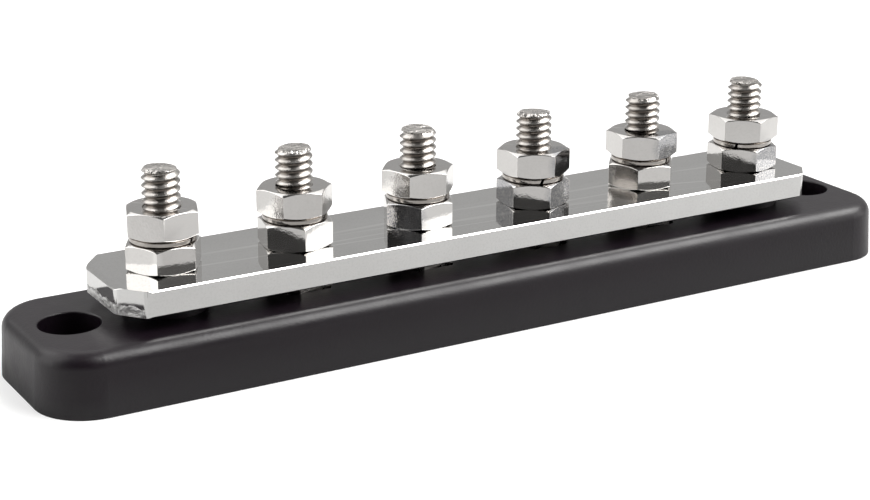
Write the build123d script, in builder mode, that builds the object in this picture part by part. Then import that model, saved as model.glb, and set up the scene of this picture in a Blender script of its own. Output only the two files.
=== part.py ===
from build123d import *
import os
from math import radians, sqrt, tan

# Six-stud power bus bar on a moulded insulating base, in millimetres.
# +X runs along the bar, +Z is up, and the origin is the centre of the base's underside.

# Studs: hex-head bolts that stand up through the bar in one row, a little off its middle
stud_count = 6
stud_pitch = 23.3
stud_row_offset = 0.6
thread_diameter = 6.2
stud_above_bar = 16.5
stud_tip_diameter = 5.2
stud_tip_length = 0.9
head_height = 4.0
head_recess = 0.6

# Hexagon of the nuts and of the bolt heads
hex_across_flats = 11.11
hex_face_diameter = 10.9
hex_chamfer_angle = 30.0
chamfer_cone_margin = 0.4

# Nuts, turned as they were left when they were tightened (degrees from a corner on +X)
nut_height = 4.4
nut_bore_clearance = 0.05
nut_mouth_chamfer = 0.35
lower_nut_turns = (58.6, 18.8, 5.8, 25.3, 50.4, 16.4)
upper_nut_turns = (9.7, 47.6, 48.1, 32.2, 22.5, 21.0)

# Split lock washers between the two nuts, and where each one's gap faces
washer_outer_diameter = 10.8
washer_bore_clearance = 0.2
washer_thickness = 1.15
washer_edge_bevel = 0.15
washer_gap = 0.5
washer_gap_lean = 20.0
washer_gap_turns = (-55.9, 75.0, 120.0, -105.9, -67.5, -140.6)

# Plated bar, which runs past the row at both ends by this much on average
bar_end_overhang = 10.35
bar_width = 21.5
bar_thickness = 4.4
bar_crop_length = 3.8
bar_crop_width = 4.7
bar_crop_radius = 1.8
bar_edge_bevel = 0.4
bar_hole_clearance = 0.25

# Moulded base: outside, which stands out past the bar all round
base_end_margin = 14.0
base_side_margin = 5.05
base_height = 10.25
base_corner_radius = 8.8
base_draft_angle = 3.0
base_top_radius = 2.5
boss_diameter = 14.0
boss_height = 2.35
bolt_hole_clearance = 0.2
pocket_clearance = 0.4

# Moulded base: screw holes
screw_hole_inset = 8.75
screw_hole_diameter = 5.6
counterbore_diameter = 10.0
counterbore_depth = 5.5
counterbore_edge_radius = 0.3

# Moulded base: ribbed underside
side_wall = 2.8
rib_thickness = 2.2
cell_depth = 6.4
cell_corner_radius = 1.0
post_wall = 1.8
web_width = 8.0

# Lengths and widths, from the row of studs outwards
bar_length = (stud_count - 1) * stud_pitch + 2 * bar_end_overhang
base_length = bar_length + 2 * base_end_margin
base_width = bar_width + 2 * base_side_margin
screw_hole_spacing = base_length - 2 * screw_hole_inset

# Heights of the stack above the surface that the base stands on
bar_underside = base_height + boss_height
bar_top = bar_underside + bar_thickness
washer_seat = bar_top + nut_height
upper_nut_seat = washer_seat + washer_thickness
stud_end = bar_top + stud_above_bar
end_head_seat = head_recess + head_height

# Sizes that follow from the fits
thread_radius = thread_diameter / 2
hex_corner_radius = hex_across_flats / sqrt(3)
pocket_across_flats = hex_across_flats + 2 * pocket_clearance
pocket_corner_radius = pocket_across_flats / sqrt(3)
head_pocket_depth = head_height - boss_height + pocket_clearance
post_radius = pocket_corner_radius + post_wall
screw_post_radius = counterbore_diameter / 2 + post_wall

# Places along the row
row_start = stud_row_offset - (stud_count - 1) / 2 * stud_pitch
stud_places = [row_start + n * stud_pitch for n in range(stud_count)]
end_places = [(stud_places[0], 0), (stud_places[-1], 0)]
middle_places = [(x, 0) for x in stud_places[1:-1]]
screw_places = [(-screw_hole_spacing / 2, 0), (screw_hole_spacing / 2, 0)]


def upright_plane(x, height):
    """Plane through a stud's axis: its own x is the radius, and its own y goes up."""
    return Plane(origin=(x, 0, height), x_dir=(1, 0, 0), z_dir=(0, -1, 0))


def chamfer_rise(reach):
    """Height that the chamfer cone has gained at a distance from the axis."""
    return (reach - hex_face_diameter / 2) * tan(radians(hex_chamfer_angle))


def make_base():
    """Moulded base: drafted walls, two bosses under the bar, screw holes and a ribbed underside."""
    with BuildPart() as base:
        with BuildSketch():
            RectangleRounded(base_length, base_width, base_corner_radius)
        extrude(amount=base_height, taper=base_draft_angle)
        fillet(base.faces().sort_by(Axis.Z)[-1].edges(), base_top_radius)

        # Round bosses that carry the bar at its two ends
        with BuildSketch(Plane.XY.offset(base_height)):
            with Locations(*end_places):
                Circle(boss_diameter / 2)
        extrude(amount=boss_height)

        # Hexagon pockets that hold the middle bolts' heads from above
        with BuildSketch(Plane.XY.offset(base_height)):
            with Locations(*middle_places):
                RegularPolygon(pocket_across_flats / 2, 6, major_radius=False)
        extrude(amount=-head_pocket_depth, mode=Mode.SUBTRACT)

        # Ribs, posts and webs are what is left between the underside's cells
        cell_pitch = stud_pitch / 2
        cell_width = base_width / 2 - side_wall - rib_thickness / 2
        web_length = screw_hole_spacing - (stud_count - 1) * stud_pitch
        with BuildSketch():
            with GridLocations(cell_pitch, cell_width + rib_thickness, 2 * stud_count, 2):
                RectangleRounded(cell_pitch - rib_thickness, cell_width, cell_corner_radius)
            with Locations(*end_places):
                Circle(post_radius, mode=Mode.SUBTRACT)
            with Locations(*screw_places):
                Circle(screw_post_radius, mode=Mode.SUBTRACT)
            with Locations(*screw_places):
                Rectangle(web_length, web_width, mode=Mode.SUBTRACT)
        extrude(amount=cell_depth, mode=Mode.SUBTRACT)

        # The end bolts come up from the underside, their heads held in hexagon pockets
        with BuildSketch():
            with Locations(*end_places):
                RegularPolygon(pocket_across_flats / 2, 6, major_radius=False)
        extrude(amount=end_head_seat, mode=Mode.SUBTRACT)
        with Locations(*[(x, y, bar_underside) for x, y in end_places]):
            Hole(thread_radius + bolt_hole_clearance)

        # Counterbored screw holes, with a slightly rounded mouth
        with Locations(*[(x, y, base_height) for x, y in screw_places]):
            CounterBoreHole(screw_hole_diameter / 2, counterbore_diameter / 2, counterbore_depth)
        mouths = base.edges(Select.LAST).group_by(Axis.Z)[-1]
        fillet(mouths, counterbore_edge_radius)
    base.part.label = "base"
    export_step(base.part, "parts/base.step")


def make_bar():
    """Flat plated bar with cropped corners, bevelled edges and a hole for each stud."""
    end, side = bar_length / 2, bar_width / 2
    crop_start, crop_end = end - bar_crop_length, side - bar_crop_width
    with BuildPart() as bar:
        with BuildSketch(Plane.XY.offset(bar_underside)) as outline:
            with BuildLine():
                Polyline(
                    (crop_start, side),
                    (-crop_start, side),
                    (-end, crop_end),
                    (-end, -crop_end),
                    (-crop_start, -side),
                    (crop_start, -side),
                    (end, -crop_end),
                    (end, crop_end),
                    close=True,
                )
            make_face()
            fillet(outline.vertices(), bar_crop_radius)
        extrude(amount=bar_thickness)
        chamfer(bar.faces().filter_by(Axis.Z).edges(), bar_edge_bevel)
        with Locations(*[(x, 0, bar_top) for x in stud_places]):
            Hole(thread_radius + bar_hole_clearance)
    bar.part.label = "bus_bar"
    export_step(bar.part, "parts/bus_bar.step")


def make_stud(number, x, head_seat):
    """Hex-head bolt, head down, with its plain shank standing for the thread's crests."""
    head_foot = head_seat - head_height
    reach = hex_corner_radius + chamfer_cone_margin
    shank_length = stud_end - head_seat
    with BuildPart() as stud:
        with BuildSketch(Plane((x, 0, head_foot))):
            RegularPolygon(hex_across_flats / 2, 6, major_radius=False)
        extrude(amount=head_height)
        with BuildSketch(upright_plane(x, head_foot)):
            with BuildLine():
                Polyline(
                    (0, 0),
                    (hex_face_diameter / 2, 0),
                    (reach, chamfer_rise(reach)),
                    (reach, head_height),
                    (0, head_height),
                    close=True,
                )
            make_face()
        revolve(axis=Axis((x, 0, 0), (0, 0, 1)), mode=Mode.INTERSECT)
        with BuildSketch(upright_plane(x, head_seat)):
            with BuildLine():
                Polyline(
                    (0, 0),
                    (thread_radius, 0),
                    (thread_radius, shank_length - stud_tip_length),
                    (stud_tip_diameter / 2, shank_length),
                    (0, shank_length),
                    close=True,
                )
            make_face()
        revolve(axis=Axis((x, 0, 0), (0, 0, 1)))
    stud.part.label = f"stud_{number}"
    export_step(stud.part, f"parts/stud_{number}.step")


def make_nut(name, number, x, seat, turn):
    """Plain hexagon nut, chamfered on both faces and at both mouths of its bore."""
    reach = hex_corner_radius + chamfer_cone_margin
    bore_radius = thread_radius + nut_bore_clearance
    with BuildPart() as nut:
        with BuildSketch(Plane((x, 0, seat))):
            RegularPolygon(hex_across_flats / 2, 6, major_radius=False, rotation=turn)
        extrude(amount=nut_height)
        with BuildSketch(upright_plane(x, seat)):
            with BuildLine():
                Polyline(
                    (0, 0),
                    (hex_face_diameter / 2, 0),
                    (reach, chamfer_rise(reach)),
                    (reach, nut_height - chamfer_rise(reach)),
                    (hex_face_diameter / 2, nut_height),
                    (0, nut_height),
                    close=True,
                )
            make_face()
        revolve(axis=Axis((x, 0, 0), (0, 0, 1)), mode=Mode.INTERSECT)
        with Locations((x, 0, seat + nut_height)):
            Hole(bore_radius)
        bore_edges = nut.faces().filter_by(GeomType.CYLINDER).edges().filter_by(GeomType.CIRCLE)
        chamfer(bore_edges, nut_mouth_chamfer)
    nut.part.label = f"{name}_{number}"
    export_step(nut.part, f"parts/{name}_{number}.step")


def make_washer(number, x, gap_turn):
    """Spring lock washer: a flat bar with bevelled edges, bent to a ring and split by a leaning gap."""
    bore_radius = thread_radius + washer_bore_clearance
    ring_width = washer_outer_diameter / 2 - bore_radius
    lean = washer_thickness * tan(radians(washer_gap_lean))
    with BuildPart() as washer:
        with BuildSketch(upright_plane(x, washer_seat)):
            with Locations((bore_radius + ring_width / 2, washer_thickness / 2)):
                section = Rectangle(ring_width, washer_thickness)
            chamfer(section.vertices(), washer_edge_bevel)
        revolve(axis=Axis((x, 0, 0), (0, 0, 1)))
        outward = Vector(1, 0, 0).rotate(Axis.Z, gap_turn)
        along = Vector(0, 1, 0).rotate(Axis.Z, gap_turn)
        with BuildSketch(Plane(origin=(x, 0, washer_seat), x_dir=along, z_dir=outward)):
            with BuildLine():
                Polyline(
                    (-washer_gap / 2 - lean, -washer_thickness / 2),
                    (washer_gap / 2 - lean, -washer_thickness / 2),
                    (washer_gap / 2 + lean, washer_thickness * 3 / 2),
                    (-washer_gap / 2 + lean, washer_thickness * 3 / 2),
                    close=True,
                )
            make_face()
        extrude(amount=washer_outer_diameter, mode=Mode.SUBTRACT)
    washer.part.label = f"lock_washer_{number}"
    export_step(washer.part, f"parts/lock_washer_{number}.step")


os.makedirs("parts", exist_ok=True)
make_base()
make_bar()
for number, x in enumerate(stud_places, start=1):
    at_end = number in (1, stud_count)
    make_stud(number, x, end_head_seat if at_end else bar_underside)
    make_nut("lower_nut", number, x, bar_top, lower_nut_turns[number - 1])
    make_washer(number, x, washer_gap_turns[number - 1])
    make_nut("upper_nut", number, x, upper_nut_seat, upper_nut_turns[number - 1])
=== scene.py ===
import math

import bpy
from mathutils import Matrix


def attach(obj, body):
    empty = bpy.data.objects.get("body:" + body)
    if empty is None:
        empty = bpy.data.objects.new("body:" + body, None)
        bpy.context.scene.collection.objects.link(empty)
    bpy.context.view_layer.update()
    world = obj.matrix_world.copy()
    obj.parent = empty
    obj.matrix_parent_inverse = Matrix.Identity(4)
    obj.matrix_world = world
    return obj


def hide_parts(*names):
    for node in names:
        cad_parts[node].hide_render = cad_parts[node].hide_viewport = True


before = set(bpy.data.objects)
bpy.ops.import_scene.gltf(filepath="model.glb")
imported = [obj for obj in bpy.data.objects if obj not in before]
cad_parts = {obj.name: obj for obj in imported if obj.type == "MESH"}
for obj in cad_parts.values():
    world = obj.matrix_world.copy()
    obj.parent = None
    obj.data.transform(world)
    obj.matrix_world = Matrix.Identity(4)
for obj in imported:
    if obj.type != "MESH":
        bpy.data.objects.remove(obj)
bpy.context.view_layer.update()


# --- Moulded base ---
# One piece of black glass-filled plastic, moulded with drafted walls and a rounded top edge. It is
# the frame's own solid and only gets its finish here: satin, a little violet, faintly grained.
PLASTIC_DARK, PLASTIC_PALE = (0.0044, 0.0018, 0.0042), (0.0062, 0.0028, 0.0060)
PLASTIC_RUBBED, RUBBED_FROM, RUBBED_FULL = (0.016, 0.0145, 0.0165), 0.53, 0.60
PLASTIC_SMOOTH, PLASTIC_ROUGH, PLASTIC_IOR = 0.32, 0.44, 1.45
CLOUDS_PER_METRE, SHEEN_PER_METRE, GRAINS_PER_METRE = 55, 140, 1900
GRAIN_DEPTH, GRAIN_STRENGTH = 0.000014, 0.8
NOISE_LOW, NOISE_HIGH = 0.3, 0.7


def add_node(tree, kind, inputs=None, **settings):
    """Adds a shader node. An input that is given a socket is linked to it, and any other is set."""
    made = tree.nodes.new("ShaderNode" + kind)
    for name, value in settings.items():
        setattr(made, name, value)
    for name, value in (inputs or {}).items():
        if isinstance(value, bpy.types.NodeSocket):
            tree.links.new(value, made.inputs[name])
        else:
            made.inputs[name].default_value = value
    return made


def start_finish(name):
    """A new material with only its surface shader and output, and the piece's own coordinates."""
    material = bpy.data.materials.new(name)
    material.use_nodes = True
    tree = material.node_tree
    tree.nodes.clear()
    shader = add_node(tree, "BsdfPrincipled")
    add_node(tree, "OutputMaterial", {"Surface": shader.outputs["BSDF"]})
    place = add_node(tree, "TexCoord").outputs["Object"]
    return material, tree, shader, place


def ramp(tree, value, start, full, low=0.0, high=1.0, **settings):
    """Goes from low to high while the value goes from start to full, and no further."""
    ranged = add_node(tree, "MapRange", {
        "Value": value, "From Min": start, "From Max": full,
        "To Min": low, "To Max": high}, **settings)
    return ranged.outputs["Result"]


def speckle(tree, place, per_metre, detail, stretch=(1, 1, 1), low=0.0, high=1.0):
    """Noise of a given grain, stretched along an axis if asked, and spread from low to high."""
    spread = add_node(tree, "Mapping", {"Vector": place, "Scale": stretch})
    noise = add_node(tree, "TexNoise", {
        "Vector": spread.outputs["Vector"], "Scale": per_metre, "Detail": detail})
    return ramp(tree, noise.outputs["Fac"], NOISE_LOW, NOISE_HIGH, low, high)


def blend_colours(tree, factor, first, second):
    """Colour that goes from the first to the second with the factor."""
    mixed = add_node(tree, "Mix", {"Factor": factor}, data_type="RGBA")
    for socket, colour in ((mixed.inputs[6], first), (mixed.inputs[7], second)):
        if isinstance(colour, bpy.types.NodeSocket):
            tree.links.new(colour, socket)
        else:
            socket.default_value = (*colour, 1)
    return mixed.outputs[2]


def worn_edges(tree, start, full):
    """1 on the sharp outer edges, which rub bright first, and 0 on the flats and in hollows."""
    shape = add_node(tree, "NewGeometry")
    return ramp(tree, shape.outputs["Pointiness"], start, full)


def bump(tree, height, depth, strength=1.0, over=None):
    """Normals of a surface with such a relief, laid over an earlier relief if there is one."""
    inputs = {"Height": height, "Strength": strength, "Distance": depth}
    if over is not None:
        inputs["Normal"] = over
    return add_node(tree, "Bump", inputs).outputs["Normal"]


plastic, tree, shader, place = start_finish("black_moulded_plastic")
cloudy = speckle(tree, place, CLOUDS_PER_METRE, 3)
body_colour = blend_colours(tree, cloudy, PLASTIC_DARK, PLASTIC_PALE)
rubbed = worn_edges(tree, RUBBED_FROM, RUBBED_FULL)
body_colour = blend_colours(tree, rubbed, body_colour, PLASTIC_RUBBED)
tree.links.new(body_colour, shader.inputs["Base Color"])
sheen = speckle(tree, place, SHEEN_PER_METRE, 4, low=PLASTIC_SMOOTH, high=PLASTIC_ROUGH)
tree.links.new(sheen, shader.inputs["Roughness"])
shader.inputs["IOR"].default_value = PLASTIC_IOR
grain = bump(tree, speckle(tree, place, GRAINS_PER_METRE, 3), GRAIN_DEPTH, GRAIN_STRENGTH)
tree.links.new(grain, shader.inputs["Normal"])
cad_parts["base"].data.materials.clear()
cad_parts["base"].data.materials.append(plastic)


# --- Bus bar ---
# Flat metal bar sheared to length with its corners cropped off, bevelled along its long edges,
# drilled six times and bright plated. The shear rolled the top over at both ends and tore it below.
STUD_COUNT, STUD_PITCH, ROW_MIDDLE = 6, 0.0233, 0.0006
ROW = [ROW_MIDDLE + (n - (STUD_COUNT - 1) / 2) * STUD_PITCH for n in range(STUD_COUNT)]
BAR_LENGTH, BAR_WIDTH, BAR_THICKNESS = 0.1372, 0.0215, 0.0044
BAR_UNDERSIDE = 0.0126
BAR_TOP = BAR_UNDERSIDE + BAR_THICKNESS
BAR_MIDDLE = (BAR_UNDERSIDE + BAR_TOP) / 2
CROP_LENGTH, CROP_WIDTH, CROP_RADIUS = 0.0038, 0.0047, 0.0018
CROP_SLANT, CROP_ANGLE = math.hypot(CROP_WIDTH, CROP_LENGTH), math.atan2(CROP_WIDTH, CROP_LENGTH)
SIDE_ARC_STEPS, END_ARC_STEPS = 9, 7
BAR_BEVEL, BAR_EASE = 0.00024, 0.00004
BAR_HOLE, HOLE_SIDES, DRILL_LENGTH = 0.00335, 64, 0.01
ROLL_WIDTH, ROLL_DEPTH, ROLL_STEPS = 0.0012, 0.00045, 4
UPRIGHT, TOUCHING, CUT_THRESHOLD = 0.001, 0.0001, 0.0000001
EASE_STEPS, EASE_ANGLE, ROUND_ANGLE, FLAT_FACE_PULL = 2, 25, 40, 100

PATCHES_PER_METRE, SPECKS_PER_METRE, GLOSS_PER_METRE = 160, 2600, 420
SPECK_LOW, SPECK_HIGH, SPECK_AMOUNT = -0.6, 0.9, 0.25
SPECK_SHADE, EDGE_SHADE, EDGE_FROM, EDGE_FULL = 0.75, 1.12, 0.52, 0.62
MARKS_PER_METRE, MARK_STRETCH, MARK_DEPTH = 900, (0.04, 1, 1), 0.0000006
TORN_START, TORN_FULL = BAR_LENGTH / 2 - CROP_LENGTH + 0.0002, BAR_LENGTH / 2 - CROP_LENGTH + 0.0009
TORN_TOP, TORN_BLUR = BAR_UNDERSIDE + 0.0017, 0.0002
WAVES_PER_METRE, WAVE_HEIGHT = 420, 0.0004
TEARS_PER_METRE, TEAR_DEPTH = 1100, 0.00016
BAR_ROUGHNESS, TORN_ROUGHNESS = 0.07, 0.42


def pick(piece):
    """Selects one piece and nothing else, and makes it the active one."""
    bpy.ops.object.select_all(action="DESELECT")
    piece.select_set(True)
    bpy.context.view_layer.objects.active = piece


def start_piece(add_primitive, **sizes):
    """Adds one primitive with nothing else selected, and puts its place in its mesh."""
    if bpy.context.object and bpy.context.object.mode != "OBJECT":
        bpy.ops.object.mode_set(mode="OBJECT")
    bpy.ops.object.select_all(action="DESELECT")
    add_primitive(**sizes)
    bpy.ops.object.transform_apply(location=True, rotation=True, scale=True)
    return bpy.context.object


def select_edges(piece, wanted):
    """Selects, in edit mode, the edges whose two ends pass the test."""
    bpy.ops.object.mode_set(mode="EDIT")
    bpy.ops.mesh.select_mode(type="EDGE")
    bpy.ops.mesh.select_all(action="DESELECT")
    bpy.ops.object.mode_set(mode="OBJECT")
    points = piece.data.vertices
    for edge in piece.data.edges:
        edge.select = wanted(points[edge.vertices[0]].co, points[edge.vertices[1]].co)
    bpy.ops.object.mode_set(mode="EDIT")


def slice_off(point, facing, drop="outer"):
    """Cuts the whole piece by a plane, drops its outer or inner part, and closes the cut."""
    bpy.ops.mesh.select_all(action="SELECT")
    bpy.ops.mesh.bisect(plane_co=point, plane_no=facing, use_fill=True, threshold=CUT_THRESHOLD,
                        clear_inner=drop == "inner", clear_outer=drop == "outer")


def score(point, facing):
    """Lays a row of edges round the whole piece where a plane goes through it."""
    bpy.ops.mesh.select_all(action="SELECT")
    bpy.ops.mesh.bisect(plane_co=point, plane_no=facing, threshold=CUT_THRESHOLD)


def cut_with(piece, tool, operation):
    """Cuts, joins or keeps the common part of two closed shapes, and removes the tool."""
    cut = piece.modifiers.new(operation.lower(), "BOOLEAN")
    cut.object, cut.operation, cut.solver = tool, operation, "EXACT"
    bpy.context.view_layer.objects.active = piece
    bpy.ops.object.modifier_apply(modifier=cut.name)
    bpy.data.objects.remove(tool)


def ease_edges(piece, width, angle=EASE_ANGLE):
    """Rounds every sharp edge a little, and shades flat faces flat and round faces round."""
    pick(piece)
    ease = piece.modifiers.new("eased_edges", "BEVEL")
    ease.width, ease.segments, ease.limit_method = width, EASE_STEPS, "ANGLE"
    ease.angle_limit, ease.use_clamp_overlap = math.radians(angle), False
    bpy.ops.object.modifier_apply(modifier=ease.name)
    bpy.ops.object.shade_smooth_by_angle(angle=math.radians(ROUND_ANGLE))
    flats = piece.modifiers.new("flat_faces", "WEIGHTED_NORMAL")
    flats.keep_sharp, flats.weight = True, FLAT_FACE_PULL
    bpy.ops.object.modifier_apply(modifier=flats.name)


def dress(piece, name, body, node, material):
    """Names a finished piece, gives it its finish, and lets it stand for its solid in the frame."""
    piece.name = piece.data.name = name
    piece.data.materials.clear()
    piece.data.materials.append(material)
    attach(piece, body)
    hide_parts(node)


def plated(name, bright, dull, smooth, rough, dent_size, dent_depth):
    """Bright plating over a metal: patchy colour and gloss, faint dents, and edges rubbed paler."""
    material, tree, shader, place = start_finish(name)
    colour = blend_colours(tree, speckle(tree, place, PATCHES_PER_METRE, 4), bright, dull)
    specks = add_node(tree, "Math", {
        0: speckle(tree, place, SPECKS_PER_METRE, 3, low=SPECK_LOW, high=SPECK_HIGH),
        1: SPECK_AMOUNT}, operation="MULTIPLY", use_clamp=True)
    colour = blend_colours(
        tree, specks.outputs[0], colour, tuple(SPECK_SHADE * part for part in dull))
    colour = blend_colours(
        tree, worn_edges(tree, EDGE_FROM, EDGE_FULL), colour,
        tuple(EDGE_SHADE * part for part in bright))
    tree.links.new(colour, shader.inputs["Base Color"])
    shader.inputs["Metallic"].default_value = 1
    gloss = speckle(tree, place, GLOSS_PER_METRE, 5, low=smooth, high=rough)
    tree.links.new(gloss, shader.inputs["Roughness"])
    dents = bump(tree, speckle(tree, place, 1 / dent_size, 2), dent_depth)
    tree.links.new(dents, shader.inputs["Normal"])
    return material, tree, shader, place, colour, dents


bar = start_piece(bpy.ops.mesh.primitive_cube_add, size=1, location=(0, 0, BAR_MIDDLE),
                  scale=(BAR_LENGTH, BAR_WIDTH, BAR_THICKNESS))
bpy.ops.object.mode_set(mode="EDIT")
for end in (-1, 1):
    for side in (-1, 1):
        slice_off((end * (BAR_LENGTH / 2 - CROP_LENGTH), side * BAR_WIDTH / 2, 0),
                  (end * CROP_WIDTH, side * CROP_LENGTH, 0))

# The crops meet the long sides and the ends in arcs.
select_edges(bar, lambda a, b: abs(a.z - b.z) > UPRIGHT and abs(a.y) > BAR_WIDTH / 2 - TOUCHING)
bpy.ops.mesh.bevel(offset=CROP_RADIUS * math.tan(CROP_ANGLE / 2), segments=SIDE_ARC_STEPS,
                   affect="EDGES")
select_edges(bar, lambda a, b: abs(a.z - b.z) > UPRIGHT and abs(a.x) > BAR_LENGTH / 2 - TOUCHING)
bpy.ops.mesh.bevel(offset=CROP_RADIUS * math.tan(math.pi / 4 - CROP_ANGLE / 2),
                   segments=END_ARC_STEPS, affect="EDGES")
for height, tilt in ((BAR_TOP, 1), (BAR_UNDERSIDE, -1)):
    for side in (-1, 1):
        slice_off((0, side * (BAR_WIDTH / 2 - BAR_BEVEL), height), (0, side, tilt))
bpy.ops.object.mode_set(mode="OBJECT")
for x in ROW:
    drill = start_piece(bpy.ops.mesh.primitive_cylinder_add, vertices=HOLE_SIDES, radius=BAR_HOLE,
                        depth=DRILL_LENGTH, location=(x, 0, BAR_MIDDLE))
    cut_with(bar, drill, "DIFFERENCE")

# Rows of edges are laid along the ends and the crops, and the top is rolled over at the ends.
pick(bar)
bpy.ops.object.mode_set(mode="EDIT")
for step in range(1, ROLL_STEPS + 1):
    back = ROLL_WIDTH * step / ROLL_STEPS
    for end in (-1, 1):
        score((end * (BAR_LENGTH / 2 - back), 0, 0), (end, 0, 0))
        for side in (-1, 1):
            score((end * (BAR_LENGTH / 2 - CROP_LENGTH - back * CROP_WIDTH / CROP_SLANT),
                   side * (BAR_WIDTH / 2 - back * CROP_LENGTH / CROP_SLANT), 0),
                  (end * CROP_WIDTH, side * CROP_LENGTH, 0))
bpy.ops.object.mode_set(mode="OBJECT")
for point in bar.data.vertices:
    from_end = max(0, BAR_LENGTH / 2 - abs(point.co.x))
    if point.co.z > BAR_MIDDLE:
        point.co.z -= ROLL_DEPTH * max(0, 1 - from_end / ROLL_WIDTH) ** 2
ease_edges(bar, BAR_EASE)

bar_plating, tree, shader, place, _, dents = plated(
    "bright_bar_plating", bright=(0.72, 0.715, 0.705), dull=(0.69, 0.685, 0.675),
    smooth=0.05, rough=0.09, dent_size=0.004, dent_depth=0.000004)
marks = bump(tree, speckle(tree, place, MARKS_PER_METRE, 4, MARK_STRETCH), MARK_DEPTH, over=dents)
axes = add_node(tree, "SeparateXYZ", {"Vector": place}).outputs
along = add_node(tree, "Math", {0: axes["X"]}, operation="ABSOLUTE").outputs[0]
waves = speckle(tree, place, WAVES_PER_METRE, 3, low=-WAVE_HEIGHT, high=WAVE_HEIGHT)
waving = add_node(tree, "Math", {0: axes["Z"], 1: waves}, operation="ADD").outputs[0]
torn = add_node(tree, "Math", {
    0: ramp(tree, waving, TORN_TOP, TORN_TOP - TORN_BLUR),
    1: ramp(tree, along, TORN_START, TORN_FULL)}, operation="MULTIPLY").outputs[0]
ragged = bump(tree, speckle(tree, place, TEARS_PER_METRE, 4), TEAR_DEPTH, torn, over=marks)
tree.links.new(ragged, shader.inputs["Normal"])
gloss = ramp(tree, torn, 0, 1, BAR_ROUGHNESS, TORN_ROUGHNESS)
tree.links.new(gloss, shader.inputs["Roughness"])
dress(bar, "bus_bar_plated", "terminal_block", "bus_bar", bar_plating)


# --- Studs ---
# Six hex-head bolts of plated steel, head down, each with a rolled coarse thread and a chamfered
# tip. The middle four hang from the bar, and the end two come up through the base's bosses.
THREAD_RADIUS, THREAD_ROOT, THREAD_PITCH = 0.0031, 0.00250, 0.00127
CREST_EASE, ROOT_EASE, THREAD_SIDES = 0.00005, 0.00006, 56
TOOTH = ((THREAD_ROOT, 0.00008), (THREAD_ROOT + ROOT_EASE, 0.00018),
         (THREAD_RADIUS - CREST_EASE, 0.00053), (THREAD_RADIUS, 0.00059),
         (THREAD_RADIUS, 0.00068), (THREAD_RADIUS - CREST_EASE, 0.00074),
         (THREAD_ROOT + ROOT_EASE, 0.00109), (THREAD_ROOT, 0.00119), (THREAD_ROOT, 0.00135))
STUD_END, THREAD_START, THREAD_OVERRUN = BAR_TOP + 0.0165, BAR_TOP + 0.0008, 0.0002
TIP_RADIUS, TIP_LENGTH, TIP_LEAN = 0.0026, 0.0009, 0.06
TIP_CONE_FOOT = STUD_END - TIP_LENGTH * 1.34
TIP_CUT_HEIGHT = STUD_END - 1.2 * TIP_LEAN * TIP_RADIUS
HEAD_HEIGHT, HEAD_LIMIT, END_STUD_DROP = 0.004, BAR_UNDERSIDE + 0.0005, 0.008
SHANK_IN_HEAD, SHANK_IN_THREAD = 0.001, 0.0003
CUTTER_MARGIN, CUTTER_DROP = 0.0002, 0.001
HEX_CORNER = 0.01111 / math.sqrt(3)
HEX_FACE_RADIUS, CHAMFER_SLOPE = 0.00545, math.tan(math.radians(25))
BLANK_RADIUS = HEX_CORNER + 0.0004
BLANK_RISE = (BLANK_RADIUS - HEX_FACE_RADIUS) * CHAMFER_SLOPE
LATHE_STEPS, MERGE_WITHIN, STUD_EASE, STUD_EASE_ANGLE = 96, 0.000001, 0.00003, 35
STUD_TURNS = (0, 130, 250, 40, 170, 300)

THREAD_ROOT_DIRT_AND_SHADE, ROOT_DIRT_AND_SHADE_FROM, ROOT_DIRT_AND_SHADE_AMOUNT = (0.16, 0.135, 0.115), 0.35, 0.85
SHEARED_FROM, SHEARED_FULL = STUD_END - 0.0007, STUD_END - 0.0004
LUMPS_PER_METRE, LUMP_DEPTH = 620, 0.0005


def turned(profile, hollow, steps=LATHE_STEPS):
    """A shape turned on a lathe from (radius, height) points, closed on the first if hollow."""
    radius, height = profile[0]
    piece = start_piece(bpy.ops.mesh.primitive_circle_add, vertices=steps, radius=radius,
                        location=(0, 0, height), fill_type="NOTHING" if hollow else "NGON")
    bpy.ops.object.mode_set(mode="EDIT")
    bpy.ops.mesh.select_all(action="SELECT")
    for next_radius, next_height in profile[1:] + profile[:1] * hollow:
        rise = {"value": (0, 0, next_height - height)}
        if hollow:
            bpy.ops.mesh.extrude_edges_move(TRANSFORM_OT_translate=rise)
        else:
            bpy.ops.mesh.extrude_region_move(TRANSFORM_OT_translate=rise)
        growth = next_radius / radius
        bpy.ops.transform.resize(value=(growth, growth, 1), center_override=(0, 0, 0))
        radius, height = next_radius, next_height
    bpy.ops.mesh.select_all(action="SELECT")
    bpy.ops.mesh.remove_doubles(threshold=MERGE_WITHIN)
    bpy.ops.mesh.normals_make_consistent(inside=False)
    bpy.ops.object.mode_set(mode="OBJECT")
    return piece


def hexagon(foot, height):
    """A hexagon prism as wide across its flats as the nuts, with a corner on +X."""
    return start_piece(bpy.ops.mesh.primitive_cylinder_add, vertices=6, radius=HEX_CORNER,
                       depth=height, location=(0, 0, foot + height / 2),
                       rotation=(0, 0, math.radians(30)))


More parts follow.
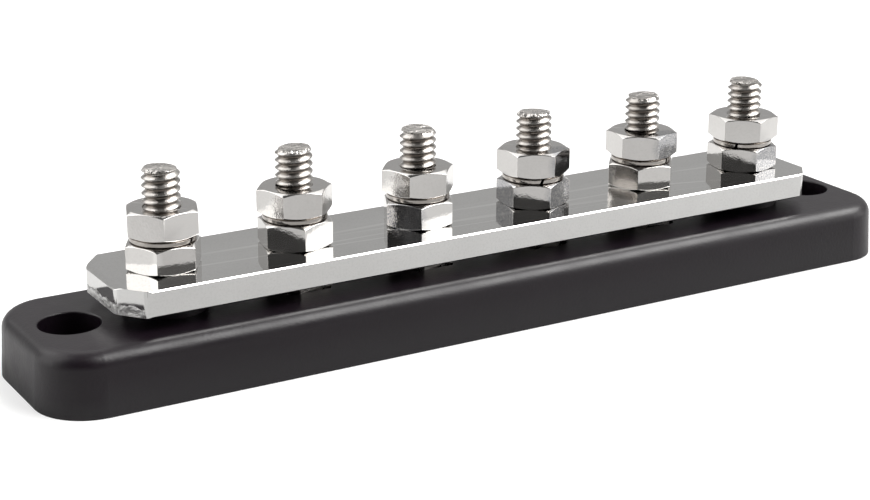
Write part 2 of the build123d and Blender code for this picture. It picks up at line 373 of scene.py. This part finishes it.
def rolled_thread():
    """The coarse thread, wound up from one tooth's outline and cut off flat at both ends."""
    thread = start_piece(bpy.ops.mesh.primitive_plane_add, size=THREAD_PITCH)
    bpy.ops.object.mode_set(mode="EDIT")
    bpy.ops.mesh.select_mode(type="VERT")
    bpy.ops.mesh.select_all(action="SELECT")
    bpy.ops.mesh.merge(type="CENTER")
    radius, height = TOOTH[0]
    foot = THREAD_START - 2 * THREAD_PITCH
    bpy.ops.transform.translate(value=(radius, 0, foot + height))
    for next_radius, next_height in TOOTH[1:]:
        bpy.ops.mesh.extrude_region_move(
            TRANSFORM_OT_translate={"value": (next_radius - radius, 0, next_height - height)})
        radius, height = next_radius, next_height
    bpy.ops.object.mode_set(mode="OBJECT")
    wind = thread.modifiers.new("wound", "SCREW")
    wind.screw_offset = THREAD_PITCH
    wind.iterations = math.ceil((STUD_END - foot) / THREAD_PITCH) + 1
    wind.steps = wind.render_steps = THREAD_SIDES
    wind.use_merge_vertices, wind.merge_threshold = True, MERGE_WITHIN
    bpy.ops.object.modifier_apply(modifier=wind.name)
    bpy.ops.object.mode_set(mode="EDIT")
    bpy.ops.mesh.select_all(action="SELECT")
    bpy.ops.mesh.remove_doubles(threshold=2 * MERGE_WITHIN)
    slice_off((0, 0, THREAD_START), (0, 0, 1), drop="inner")
    slice_off((0, 0, STUD_END + THREAD_OVERRUN), (0, 0, 1))
    bpy.ops.mesh.select_all(action="SELECT")
    bpy.ops.mesh.normals_make_consistent(inside=False)
    bpy.ops.object.mode_set(mode="OBJECT")
    return thread


def copy_of(piece, x, turn=0.0, rise=0.0):
    """Another one of a finished piece with its own mesh, turned on its axis and put in the row."""
    pick(piece)
    bpy.ops.object.duplicate(linked=False)
    other = bpy.context.object
    other.rotation_euler[2] = math.radians(turn)
    other.location = (x, 0, rise)
    bpy.ops.object.transform_apply(location=True, rotation=True, scale=True)
    return other


def make_stud():
    """One of the middle bolts: chamfered head, plain shank, thread, and a slightly leaning tip."""
    head_foot = BAR_UNDERSIDE - HEAD_HEIGHT
    stud = hexagon(head_foot, HEAD_HEIGHT)
    cut_with(stud, turned([(HEX_FACE_RADIUS, head_foot), (BLANK_RADIUS, head_foot + BLANK_RISE),
                           (BLANK_RADIUS, BAR_UNDERSIDE)], False), "INTERSECT")
    cut_with(stud, turned([(THREAD_RADIUS, BAR_UNDERSIDE - SHANK_IN_HEAD),
                           (THREAD_RADIUS, THREAD_START + SHANK_IN_THREAD)],
                          False, THREAD_SIDES), "UNION")
    thread = rolled_thread()
    cut_with(thread, turned([(THREAD_RADIUS + CUTTER_MARGIN, THREAD_START - CUTTER_DROP),
                             (THREAD_RADIUS + CUTTER_MARGIN, TIP_CONE_FOOT),
                             (TIP_RADIUS, STUD_END)], False, THREAD_SIDES), "INTERSECT")
    cut_with(stud, thread, "UNION")
    bpy.ops.object.mode_set(mode="EDIT")
    slice_off((0, 0, TIP_CUT_HEIGHT), (TIP_LEAN, 0, 1))
    bpy.ops.object.mode_set(mode="OBJECT")
    ease_edges(stud, STUD_EASE, STUD_EASE_ANGLE)
    depth = stud.data.attributes.new("thread_depth", "FLOAT", "POINT")
    for point, value in zip(stud.data.vertices, depth.data):
        below_crest = THREAD_RADIUS - math.hypot(point.co.x, point.co.y)
        if THREAD_START < point.co.z < STUD_END - TIP_LENGTH:
            value.value = min(1, max(0, below_crest / (THREAD_RADIUS - THREAD_ROOT)))
    return stud


stud_plating, tree, shader, place, colour, dents = plated(
    "stud_plating", bright=(0.50, 0.48, 0.46), dull=(0.36, 0.34, 0.32),
    smooth=0.22, rough=0.36, dent_size=0.0006, dent_depth=0.000016)
# Painted shade with some dirt: the deeper the thread goes towards its roots, the darker and browner
# it is painted, for the shade in its hollows.
depth = add_node(tree, "Attribute", attribute_name="thread_depth").outputs["Fac"]
dirt_and_shade = ramp(tree, depth, ROOT_DIRT_AND_SHADE_FROM, 1, high=ROOT_DIRT_AND_SHADE_AMOUNT)
colour = blend_colours(tree, dirt_and_shade, colour, THREAD_ROOT_DIRT_AND_SHADE)
tree.links.new(colour, shader.inputs["Base Color"])
height = add_node(tree, "SeparateXYZ", {"Vector": place}).outputs["Z"]
at_tip = ramp(tree, height, SHEARED_FROM, SHEARED_FULL)
sheared = bump(tree, speckle(tree, place, LUMPS_PER_METRE, 3), LUMP_DEPTH, at_tip, over=dents)
tree.links.new(sheared, shader.inputs["Normal"])
middle_stud = make_stud()

# An end bolt is the same one with a longer shank: its head sits low in the base.
end_stud = copy_of(middle_stud, 0)
select_edges(end_stud, lambda a, b: max(a.z, b.z) < HEAD_LIMIT)
bpy.ops.transform.translate(value=(0, 0, -END_STUD_DROP))
bpy.ops.object.mode_set(mode="OBJECT")
for number, (x, turn) in enumerate(zip(ROW, STUD_TURNS), start=1):
    stud = copy_of(end_stud if number in (1, STUD_COUNT) else middle_stud, x, turn)
    dress(stud, f"stud_{number}_threaded", "terminal_block", f"stud_{number}",
          stud_plating)
bpy.data.objects.remove(end_stud)
bpy.data.objects.remove(middle_stud)


# --- Lower nuts ---
# Six plain hexagon nuts, turned from bar with a chamfer on both faces, and nickel plated. They
# clamp the bar to the studs and stay where they were tightened.
NUT_HEIGHT, NUT_BORE, NUT_MOUTH = 0.0044, 0.00305, 0.00005
NUT_EASE, NUT_EASE_ANGLE = 0.00006, 20
LOWER_NUT_TURNS = (58.6, 18.8, 5.8, 25.3, 50.4, 16.4)
LOWER_NUT_MIDDLE, UPPER_NUT_MIDDLE = BAR_TOP + 0.0022, BAR_TOP + 0.00775

SWELLS_PER_METRE, SWELL_DEPTH = 420, 0.000012
FROSTED_FACETS = (
    (3, -144, LOWER_NUT_MIDDLE), (4, 175, LOWER_NUT_MIDDLE), (4, -65, LOWER_NUT_MIDDLE),
    (6, -74, LOWER_NUT_MIDDLE), (4, -58, UPPER_NUT_MIDDLE), (5, -68, UPPER_NUT_MIDDLE))
FACET_RADIUS, FROST_EDGE, FROST_FULL = 0.0055, 0.0040, 0.0030
FROST_PER_METRE, FROST_COLOUR = 4200, (0.26, 0.27, 0.30)

nut = hexagon(0, NUT_HEIGHT)
cut_with(nut, turned([
    (NUT_BORE + NUT_MOUTH, 0), (HEX_FACE_RADIUS, 0), (BLANK_RADIUS, BLANK_RISE),
    (BLANK_RADIUS, NUT_HEIGHT - BLANK_RISE), (HEX_FACE_RADIUS, NUT_HEIGHT),
    (NUT_BORE + NUT_MOUTH, NUT_HEIGHT), (NUT_BORE, NUT_HEIGHT - NUT_MOUTH),
    (NUT_BORE, NUT_MOUTH)], True), "INTERSECT")
ease_edges(nut, NUT_EASE, NUT_EASE_ANGLE)
nut_plating, tree, shader, place, colour, dents = plated(
    "nut_plating", bright=(0.665, 0.65, 0.635), dull=(0.615, 0.60, 0.585),
    smooth=0.05, rough=0.09, dent_size=0.00032, dent_depth=0.0000045)
swell = bump(tree, speckle(tree, place, SWELLS_PER_METRE, 1), SWELL_DEPTH, over=dents)
tree.links.new(swell, shader.inputs["Normal"])

# A few facets are frosted by fine scratches, as if a spanner had slipped on them.
frosted = None
for number, facing, height in FROSTED_FACETS:
    spot = (ROW[number - 1] + FACET_RADIUS * math.cos(math.radians(facing)),
            FACET_RADIUS * math.sin(math.radians(facing)), height)
    away = add_node(tree, "VectorMath", {0: place, 1: spot}, operation="DISTANCE")
    near = ramp(tree, away.outputs["Value"], FROST_EDGE, FROST_FULL)
    frosted = near if frosted is None else add_node(
        tree, "Math", {0: frosted, 1: near}, operation="MAXIMUM").outputs[0]
scratches = add_node(tree, "Math", {
    0: frosted, 1: speckle(tree, place, FROST_PER_METRE, 2)}, operation="MULTIPLY").outputs[0]
colour = blend_colours(tree, scratches, colour, FROST_COLOUR)
tree.links.new(colour, shader.inputs["Base Color"])
for number, (x, turn) in enumerate(zip(ROW, LOWER_NUT_TURNS), start=1):
    dress(copy_of(nut, x, turn, BAR_TOP), f"lower_nut_{number}_plated", "terminal_block",
          f"lower_nut_{number}", nut_plating)


# --- Lock washers ---
# Six split spring washers, rolled from square wire, pressed flat between the two nuts. Each is
# cut through once by a slot that leans, and goes up and down with its upper nut.
WASHER_SEAT, WASHER_THICKNESS = BAR_TOP + NUT_HEIGHT, 0.00115
WASHER_BORE, WASHER_RADIUS, WASHER_BEVEL, WASHER_EASE = 0.0033, 0.0054, 0.00028, 0.00004
GAP_WIDTH, GAP_LEAN = 0.0005, math.radians(20)
SAW_MIDDLE, SAW_LENGTH, SAW_HEIGHT = 0.0045, 0.005, 0.006
GAP_TURNS = (-55.9, 75.0, 120.0, -105.9, -67.5, -140.6)

WASHER_GAP_DIRT_AND_SHADE, GAP_DIRT_AND_SHADE_AMOUNT = (0.09, 0.07, 0.055), 0.85
GAP_DIRT_AND_SHADE_FROM, GAP_DIRT_AND_SHADE_FULL = 0.20 * WASHER_THICKNESS, 0.34 * WASHER_THICKNESS

washer = turned([
    (WASHER_BORE + WASHER_BEVEL, 0), (WASHER_RADIUS - WASHER_BEVEL, 0),
    (WASHER_RADIUS, WASHER_BEVEL), (WASHER_RADIUS, WASHER_THICKNESS - WASHER_BEVEL),
    (WASHER_RADIUS - WASHER_BEVEL, WASHER_THICKNESS),
    (WASHER_BORE + WASHER_BEVEL, WASHER_THICKNESS),
    (WASHER_BORE, WASHER_THICKNESS - WASHER_BEVEL), (WASHER_BORE, WASHER_BEVEL)], True)
saw = start_piece(bpy.ops.mesh.primitive_cube_add, size=1, rotation=(-GAP_LEAN, 0, 0),
                  location=(SAW_MIDDLE, 0, WASHER_THICKNESS / 2),
                  scale=(SAW_LENGTH, GAP_WIDTH * math.cos(GAP_LEAN), SAW_HEIGHT))
cut_with(washer, saw, "DIFFERENCE")
ease_edges(washer, WASHER_EASE)
washer_plating, tree, shader, place, colour, _ = plated(
    "washer_plating", bright=(0.50, 0.475, 0.45), dull=(0.34, 0.315, 0.29),
    smooth=0.10, rough=0.20, dent_size=0.0004, dent_depth=0.000010)
# Painted shade with some dirt: the washer is painted darker and browner towards its top and bottom
# faces, in the gaps where it meets the nuts.
height = add_node(tree, "SeparateXYZ", {"Vector": place}).outputs["Z"]
above_middle = add_node(tree, "Math", {
    0: height, 1: WASHER_SEAT + WASHER_THICKNESS / 2}, operation="SUBTRACT").outputs[0]
from_middle = add_node(tree, "Math", {0: above_middle}, operation="ABSOLUTE").outputs[0]
dirt_and_shade = ramp(tree, from_middle, GAP_DIRT_AND_SHADE_FROM, GAP_DIRT_AND_SHADE_FULL, high=GAP_DIRT_AND_SHADE_AMOUNT)
colour = blend_colours(tree, dirt_and_shade, colour, WASHER_GAP_DIRT_AND_SHADE)
tree.links.new(colour, shader.inputs["Base Color"])
for number, (x, turn) in enumerate(zip(ROW, GAP_TURNS), start=1):
    dress(copy_of(washer, x, turn, WASHER_SEAT), f"lock_washer_{number}_split",
          f"washer_body_{number}", f"lock_washer_{number}", washer_plating)
bpy.data.objects.remove(washer)


# --- Upper nuts ---
# Six nuts of the same kind and finish as the lower ones. They clamp the cable lugs, and each one
# screws up and down its stud together with the lock washer under it.
UPPER_NUT_SEAT = WASHER_SEAT + WASHER_THICKNESS
UPPER_NUT_TURNS = (9.7, 47.6, 48.1, 32.2, 22.5, 21.0)

for number, (x, turn) in enumerate(zip(ROW, UPPER_NUT_TURNS), start=1):
    dress(copy_of(nut, x, turn, UPPER_NUT_SEAT), f"upper_nut_{number}_plated",
          f"nut_body_{number}", f"upper_nut_{number}", nut_plating)
bpy.data.objects.remove(nut)


# --- Floor ---
# A matt pale floor without an end, painted darker towards the front: painted shade in front of
# the base. It also glows: for the camera, so that it shows white, and for mirror images, more to
# the right, as the plating shows it there.
FLOOR_RADIUS, FLOOR_SIDES = 2.5, 96
SHADED_FRONT_PAINT, BACK_PAINT, FRONT_Y, BACK_Y = 0.41, 0.60, -0.03, 0.005
LEFT_GLOW, RIGHT_GLOW, LEFT_X, RIGHT_X = 0.01, 0.18, -0.04, 0.10
CAMERA_GLOW = 0.5

floor = start_piece(bpy.ops.mesh.primitive_circle_add, vertices=FLOOR_SIDES, radius=FLOOR_RADIUS,
                    fill_type="NGON")
floor.name = floor.data.name = "floor"
floor_paint = bpy.data.materials.new("pale_floor")
floor_paint.use_nodes = True
tree = floor_paint.node_tree
tree.nodes.clear()
place = add_node(tree, "TexCoord").outputs["Object"]
axes = add_node(tree, "SeparateXYZ", {"Vector": place}).outputs
# Painted shade: the floor's paint goes darker from just behind the base's front towards the front.
paint_with_shade = ramp(tree, axes["Y"], FRONT_Y, BACK_Y, SHADED_FRONT_PAINT, BACK_PAINT)
matt = add_node(tree, "BsdfDiffuse", {"Color": paint_with_shade})
rays = add_node(tree, "LightPath").outputs
seen = add_node(
    tree, "Math", {0: rays["Is Camera Ray"], 1: CAMERA_GLOW}, operation="MULTIPLY").outputs[0]
mirrored = add_node(tree, "Math", {
    0: rays["Is Glossy Ray"], 1: ramp(tree, axes["X"], LEFT_X, RIGHT_X, LEFT_GLOW, RIGHT_GLOW)},
    operation="MULTIPLY").outputs[0]
strength = add_node(tree, "Math", {0: seen, 1: mirrored}, operation="ADD").outputs[0]
glow = add_node(tree, "Emission", {"Strength": strength})
lit = add_node(tree, "AddShader", {0: matt.outputs[0], 1: glow.outputs[0]})
add_node(tree, "OutputMaterial", {"Surface": lit.outputs[0]})
floor.data.materials.append(floor_paint)


# --- Studio ---
# A room with soft white panels to the left, to the right and high all round, a grey wall behind,
# and the dark of the room behind the camera, as the plating shows. The camera itself sees white.
WALL_GREY, DAYLIGHT = 0.45, (1.0, 0.995, 0.985, 1)

room = bpy.data.worlds.new("studio")
bpy.context.scene.world = room
room.use_nodes = True
tree = room.node_tree
tree.nodes.clear()
direction = add_node(tree, "TexCoord").outputs["Generated"]
parts = add_node(tree, "SeparateXYZ", {"Vector": direction}).outputs
level = add_node(tree, "CombineXYZ", {"X": parts["X"], "Y": parts["Y"]}).outputs[0]
level = add_node(tree, "VectorMath", {0: level}, operation="NORMALIZE").outputs[0]


def sector(middle, half_width, soft):
    """1 in a sector of the room round a compass direction, in degrees from +X towards +Y."""
    toward = (math.cos(math.radians(middle)), math.sin(math.radians(middle)), 0)
    facing = add_node(tree, "VectorMath", {0: level, 1: toward}, operation="DOT_PRODUCT")
    return ramp(tree, facing.outputs["Value"], math.cos(math.radians(half_width + soft)),
                math.cos(math.radians(half_width - soft)), interpolation_type="SMOOTHSTEP")


def above(start, full):
    """1 above a height in the room, in degrees over the horizon."""
    return ramp(tree, parts["Z"], math.sin(math.radians(start)), math.sin(math.radians(full)),
                interpolation_type="SMOOTHSTEP")


def both(first, second):
    """1 only where both places are 1."""
    return add_node(tree, "Math", {0: first, 1: second}, operation="MULTIPLY").outputs[0]


def panel(under, inside, brightness):
    """Puts a panel of a brightness over what is already there."""
    mixed = add_node(tree, "Mix", {0: inside, 2: under, 3: brightness}, data_type="FLOAT")
    return mixed.outputs[0]


light = panel(WALL_GREY, above(28, 38), 1.5)  # high all round
light = panel(light, both(sector(144, 38, 6), above(22, 30)), 2.7)  # high at the back left
light = panel(light, sector(157, 23, 4), 2.2)  # left, down to the floor
light = panel(light, sector(-115, 57, 4), 0.07)  # the dark behind the camera
light = panel(light, sector(-72, 14, 8), 0.17)  # its paler right border
light = panel(light, sector(-32, 21, 3), 2.2)  # right, down to the floor
light = panel(light, both(sector(-32, 32, 10), above(31, 39)), 10.0)  # lamp on the base's edge
light = panel(light, above(63, 70), 0.10)  # dark ceiling
light = panel(light, add_node(tree, "LightPath").outputs["Is Camera Ray"], 1.0)
shine = add_node(tree, "Background", {"Color": DAYLIGHT, "Strength": light})
add_node(tree, "OutputWorld", {"Surface": shine.outputs[0]})


# --- Camera ---
# It stands to the left in front of the bar and looks a little down on it, at the angle, distance
# and framing that a fit to the photograph gave.
CAMERA_SPOT = (-0.170991, -0.278851, 0.119084)
CAMERA_TURN, CAMERA_DIP, CAMERA_ROLL = -0.53212, 0.30857, 0.00246
CAMERA_LENS, SENSOR_WIDTH = 81.791, 36
SHIFT_X, SHIFT_Y = -0.00491, -0.03100
NEAREST, FARTHEST = 0.01, 10

bpy.ops.object.camera_add(location=CAMERA_SPOT)
camera = bpy.context.object
camera.rotation_euler = (
    Matrix.Rotation(CAMERA_TURN, 4, "Z") @ Matrix.Rotation(math.pi / 2 - CAMERA_DIP, 4, "X")
    @ Matrix.Rotation(CAMERA_ROLL, 4, "Z")).to_euler()
camera.data.lens, camera.data.sensor_width = CAMERA_LENS, SENSOR_WIDTH
camera.data.shift_x, camera.data.shift_y = SHIFT_X, SHIFT_Y
camera.data.clip_start, camera.data.clip_end = NEAREST, FARTHEST
bpy.context.scene.camera = camera
bpy.context.scene.view_settings.view_transform = "Standard"
